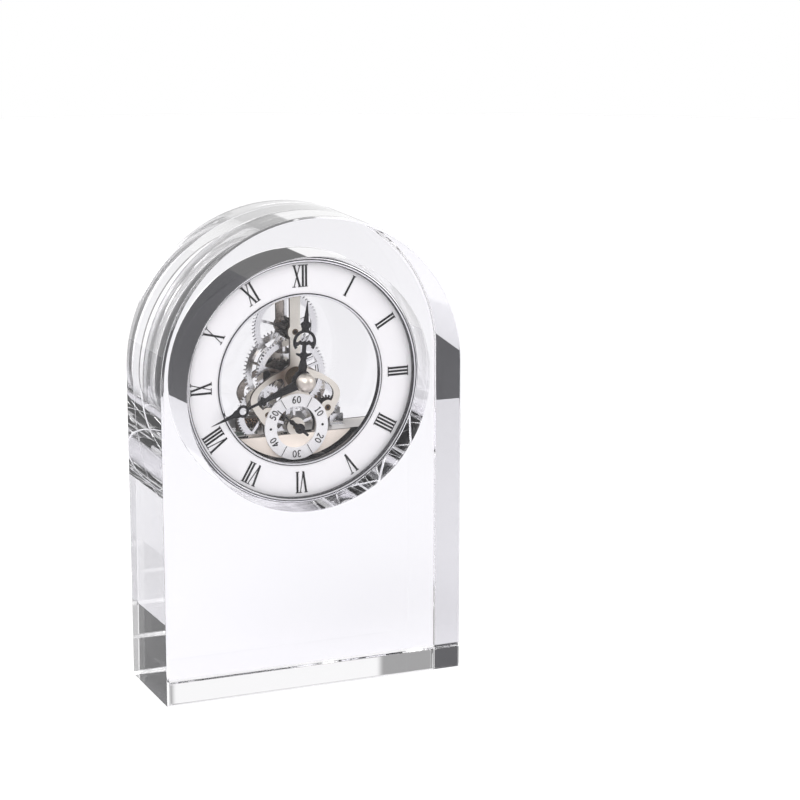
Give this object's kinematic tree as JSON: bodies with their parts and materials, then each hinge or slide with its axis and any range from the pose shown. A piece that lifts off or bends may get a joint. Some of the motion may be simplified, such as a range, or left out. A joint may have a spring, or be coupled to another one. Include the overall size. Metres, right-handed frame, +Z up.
{
  "type": "shelf clock",
  "caption": "Arched clear crystal shelf clock with a skeleton quartz movement behind a Roman numeral dial ring, a see-through centre and a small seconds dial.",
  "frame": {"origin": "centre of the block's underside, where it rests on the shelf", "axes": "+Z up, +X to the viewer's right, +Y from the dial towards the back"},
  "size_m": [0.115, 0.0402, 0.1739],
  "materials": {
    "crystal": "polished clear crystal",
    "clear_plastic": "clear moulded plastic",
    "clear_band": "clear soft silicone",
    "bright_bezel": "polished chrome",
    "silver_dial": "fine satin silver",
    "black_print": "printed black",
    "black_hand": "satin black",
    "satin_nickel": "satin nickel",
    "plate_nickel": "brushed warm nickel",
    "bright_nickel": "bright nickel",
    "dark_steel": "dark polished steel",
    "bush_bronze": "dark bronze",
    "magnet": "sintered grey",
    "stator_iron": "annealed grey",
    "core_plastic": "dark moulded",
    "copper": "enamelled copper",
    "board": "green laminate",
    "chip": "black epoxy",
    "box_black": "glossy black",
    "cell_sleeve": "printed sleeve",
    "knob": "fluted black"
  },
  "bodies": {
    "case": {"crystal_body": "crystal", "module_drum": "clear_plastic", "grip_band": "clear_band", "bezel_ring": "bright_bezel", "chapter_ring": "silver_dial", "hour_numerals": "black_print", "window_rim": "bright_bezel", "dial_posts": "bright_nickel", "front_bridge": "plate_nickel", "rear_bridge": "plate_nickel", "top_pillar": "bright_nickel", "bridge_screws": "bright_nickel", "front_bushes": "bush_bronze", "rear_bushes": "bush_bronze", "centre_bush": "bush_bronze", "seconds_dial": "silver_dial", "seconds_numerals": "black_print", "rotor_cock": "plate_nickel", "stator": "stator_iron", "stator_spacers": "bright_nickel", "coil_core": "core_plastic", "coil_winding": "copper", "circuit_board": "board", "board_parts": "chip", "quartz_can": "bright_nickel", "battery_box": "box_black", "battery_cell": "cell_sleeve", "contact_positive": "bright_nickel", "contact_negative": "bright_nickel", "rear_cover": "clear_plastic"},
    "seconds_work": {"seconds_wheel": "bright_nickel", "seconds_arbor": "dark_steel", "seconds_hand": "black_hand"},
    "minute_work": {"minute_hand": "black_hand", "hand_nut": "satin_nickel", "centre_arbor": "dark_steel", "centre_wheel": "bright_nickel", "friction_spring": "dark_steel", "cannon_pinion": "dark_steel", "set_knob": "knob"},
    "motion_work": {"motion_wheel": "bright_nickel", "motion_pinion": "dark_steel"},
    "hour_work": {"hour_wheel": "bright_nickel", "hour_hand": "black_hand"},
    "third_work": {"third_wheel": "bright_nickel", "third_pinion": "dark_steel"},
    "step_work": {"step_wheel": "bright_nickel", "step_pinion": "dark_steel"},
    "rotor": {"rotor_magnet": "magnet", "rotor_pinion": "dark_steel"},
    "door": {"battery_door": "box_black"}
  },
  "joints": [
    {"name": "seconds_turn", "type": "hinge", "parent": "case", "child": "seconds_work", "pos_m": [0, 0, 0.0939], "axis": [0, 1, 0], "continuous": true},
    {"name": "minute_turn", "type": "hinge", "parent": "case", "child": "minute_work", "pos_m": [0, 0, 0.1123], "axis": [0, 1, 0], "continuous": true},
    {"name": "hour_turn", "type": "hinge", "parent": "case", "child": "hour_work", "pos_m": [0, 0, 0.1123], "axis": [0, 1, 0], "continuous": true},
    {"name": "motion_turn", "type": "hinge", "parent": "case", "child": "motion_work", "pos_m": [0, 0, 0.129], "axis": [0, 1, 0], "continuous": true},
    {"name": "third_turn", "type": "hinge", "parent": "case", "child": "third_work", "pos_m": [-0.0108, 0, 0.0991], "axis": [0, 1, 0], "continuous": true},
    {"name": "step_turn", "type": "hinge", "parent": "case", "child": "step_work", "pos_m": [0.0125, 0, 0.0998], "axis": [0, 1, 0], "continuous": true},
    {"name": "rotor_turn", "type": "hinge", "parent": "case", "child": "rotor", "pos_m": [0.01837, 0, 0.09393], "axis": [0, 1, 0], "continuous": true},
    {"name": "door_pull", "type": "slide", "parent": "case", "child": "door", "axis": [0, 1, 0], "range_m": [0, 0.02]}
  ],
  "couplings": [
    {"joint": "minute_turn", "follows": "seconds_turn", "ratio": 0.016667},
    {"joint": "motion_turn", "follows": "seconds_turn", "ratio": -0.0055556},
    {"joint": "hour_turn", "follows": "seconds_turn", "ratio": 0.0013889},
    {"joint": "third_turn", "follows": "seconds_turn", "ratio": -0.13333},
    {"joint": "step_turn", "follows": "seconds_turn", "ratio": -2.5},
    {"joint": "rotor_turn", "follows": "seconds_turn", "ratio": 30}
  ]
}
